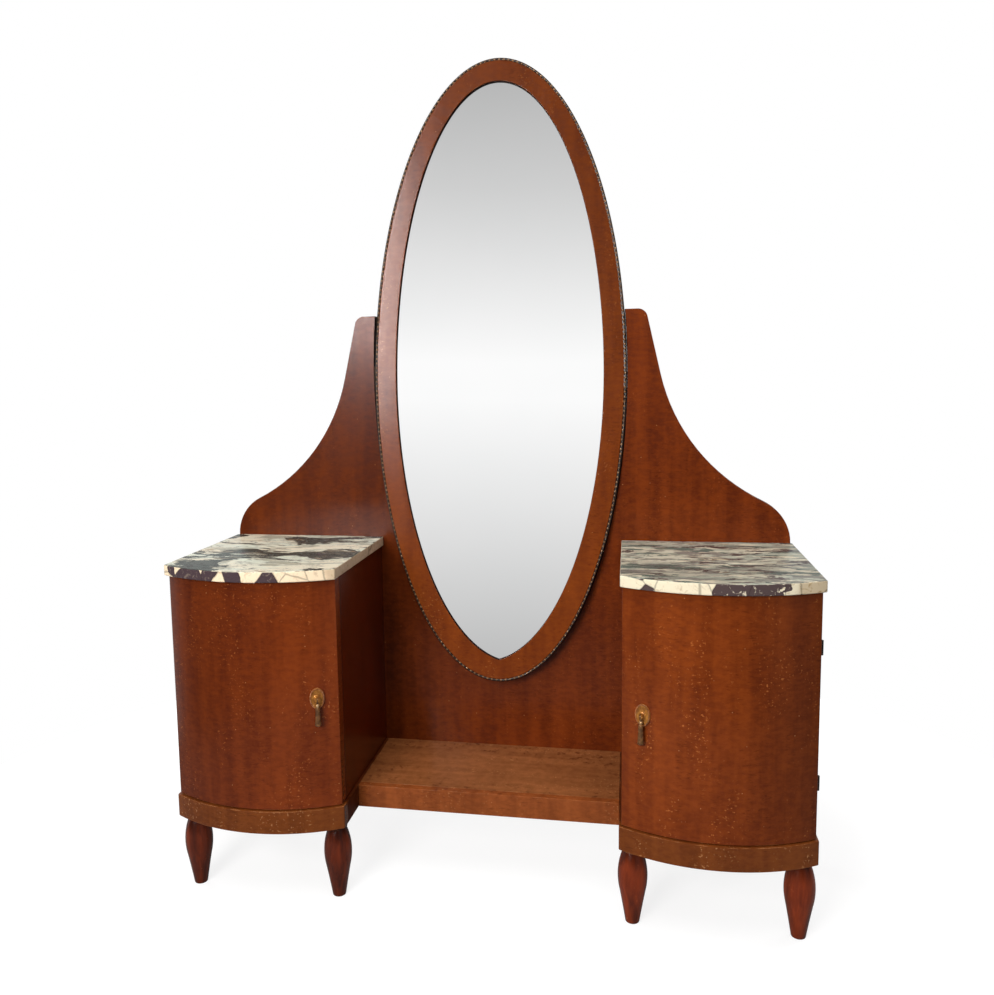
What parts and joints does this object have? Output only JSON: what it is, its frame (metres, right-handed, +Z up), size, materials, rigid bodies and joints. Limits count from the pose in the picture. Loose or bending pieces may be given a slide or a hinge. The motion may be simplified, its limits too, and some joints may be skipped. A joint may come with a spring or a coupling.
{
  "type": "dressing table",
  "caption": "Dressing table with bow-front cabinets under marble slabs, a low shelf between them and a tall oval mirror that tilts in a winged backboard.",
  "frame": {"origin": "middle of the footprint, on the floor", "axes": "+Z up, +X to the right of someone facing the table, front towards -Y"},
  "size_m": [1.297, 0.4781, 1.786],
  "materials": {
    "veneer": "polished, mottled red-brown",
    "turned_wood": "polished, dark",
    "carcass_wood": "plain, unpolished",
    "marble": "polished breccia",
    "aged_brass": "aged gilt",
    "steel": "dull",
    "mirror": "silvered glass"
  },
  "bodies": {
    "case": {"backboard": "veneer", "backboard_screws": "steel", "corner_blocks": "carcass_wood", "door_catches": "steel", "left_back_foot": "turned_wood", "left_cabinet_back": "carcass_wood", "left_cabinet_bottom": "carcass_wood", "left_front_inner_foot": "turned_wood", "left_front_outer_foot": "turned_wood", "left_hinge_pins": "aged_brass", "left_inner_shelf": "carcass_wood", "left_inner_side": "veneer", "left_marble_top": "marble", "left_outer_side": "veneer", "left_pivot_pin": "aged_brass", "left_plinth_back_rail": "carcass_wood", "left_plinth_front": "veneer", "left_plinth_inner_return": "veneer", "left_plinth_outer_return": "veneer", "left_sub_top": "carcass_wood", "recess_back": "carcass_wood", "right_back_foot": "turned_wood", "right_cabinet_back": "carcass_wood", "right_cabinet_bottom": "carcass_wood", "right_front_inner_foot": "turned_wood", "right_front_outer_foot": "turned_wood", "right_hinge_pins": "aged_brass", "right_inner_shelf": "carcass_wood", "right_inner_side": "veneer", "right_marble_top": "marble", "right_outer_side": "veneer", "right_pivot_pin": "aged_brass", "right_plinth_back_rail": "carcass_wood", "right_plinth_front": "veneer", "right_plinth_inner_return": "veneer", "right_plinth_outer_return": "veneer", "right_sub_top": "carcass_wood", "shelf_pegs": "carcass_wood", "well_apron": "veneer", "well_shelf": "veneer"},
    "door_left": {"left_door": "veneer", "left_door_hinges": "aged_brass", "left_pull_plate": "aged_brass", "left_pull_post": "aged_brass", "left_strike_plate": "steel"},
    "door_right": {"right_door": "veneer", "right_door_hinges": "aged_brass", "right_pull_plate": "aged_brass", "right_pull_post": "aged_brass", "right_strike_plate": "steel"},
    "drop_left": {"left_pull_drop": "aged_brass"},
    "drop_right": {"right_pull_drop": "aged_brass"},
    "mirror": {"mirror_back": "carcass_wood", "mirror_bead": "aged_brass", "mirror_clips": "steel", "mirror_frame": "veneer", "mirror_glass": "mirror", "pivot_bushes": "aged_brass"}
  },
  "joints": [
    {"name": "left_door_hinge", "type": "hinge", "parent": "case", "child": "door_left", "pos_m": [-0.6445, -0.15196, 0.4485], "axis": [0, 0, -1], "range_deg": [0, 120]},
    {"name": "left_pull_swing", "type": "hinge", "parent": "door_left", "child": "drop_left", "pos_m": [-0.31731, -0.20777, 0.444], "axis": [-0.9205, -0.3907, 0], "range_deg": [-4, 90]},
    {"name": "right_door_hinge", "type": "hinge", "parent": "case", "child": "door_right", "pos_m": [0.6445, -0.15196, 0.4485], "axis": [0, 0, 1], "range_deg": [0, 120]},
    {"name": "right_pull_swing", "type": "hinge", "parent": "door_right", "child": "drop_right", "pos_m": [0.31731, -0.20777, 0.444], "axis": [-0.9205, 0.3907, 0], "range_deg": [-4, 90]},
    {"name": "mirror_tilt", "type": "hinge", "parent": "case", "child": "mirror", "pos_m": [0, 0.184, 1.083], "axis": [-1, 0, 0], "range_deg": [-3.5, 10]}
  ]
}
